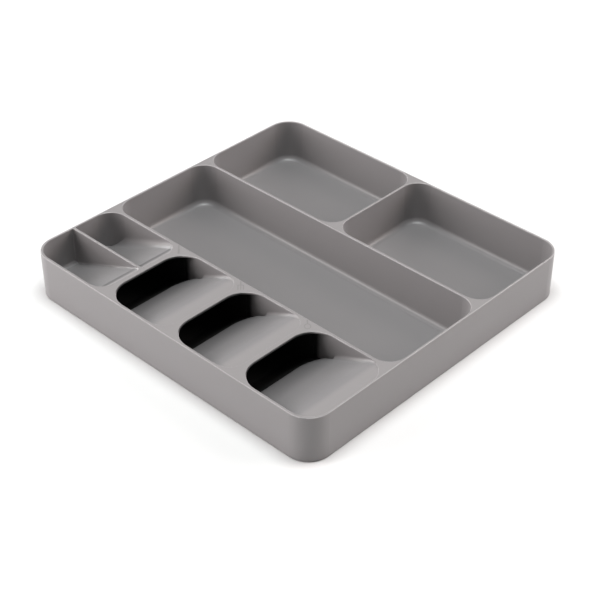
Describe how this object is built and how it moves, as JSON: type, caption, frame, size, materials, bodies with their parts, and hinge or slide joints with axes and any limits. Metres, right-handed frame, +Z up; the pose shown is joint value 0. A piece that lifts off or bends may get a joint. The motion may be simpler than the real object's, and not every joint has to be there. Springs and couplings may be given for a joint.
{
  "type": "drawer organizer insert",
  "caption": "Rounded rectangular drawer organizer insert with open bins, small scoops and overlapping sloped cutlery slots, moulded in warm grey plastic",
  "frame": {"origin": "centre of the tray's outline, at the plane the feet rest on", "axes": "+X runs along the cutlery slots from the scoops to the last slot and is the longest side, +Y runs from the slots to the rear bins, +Z is up"},
  "size_m": [0.397, 0.382, 0.053],
  "materials": {
    "tray_grey": "fine satin texture, warm grey",
    "liner_black": "matte black",
    "foot_rubber": "soft matte dark grey"
  },
  "bodies": {
    "root": {"tray_body": "tray_grey", "under_tray": "liner_black", "foot_front_left": "foot_rubber", "foot_front_right": "foot_rubber", "foot_middle_left": "foot_rubber", "foot_middle_right": "foot_rubber", "foot_rear_left": "foot_rubber", "foot_rear_right": "foot_rubber"}
  },
  "joints": []
}
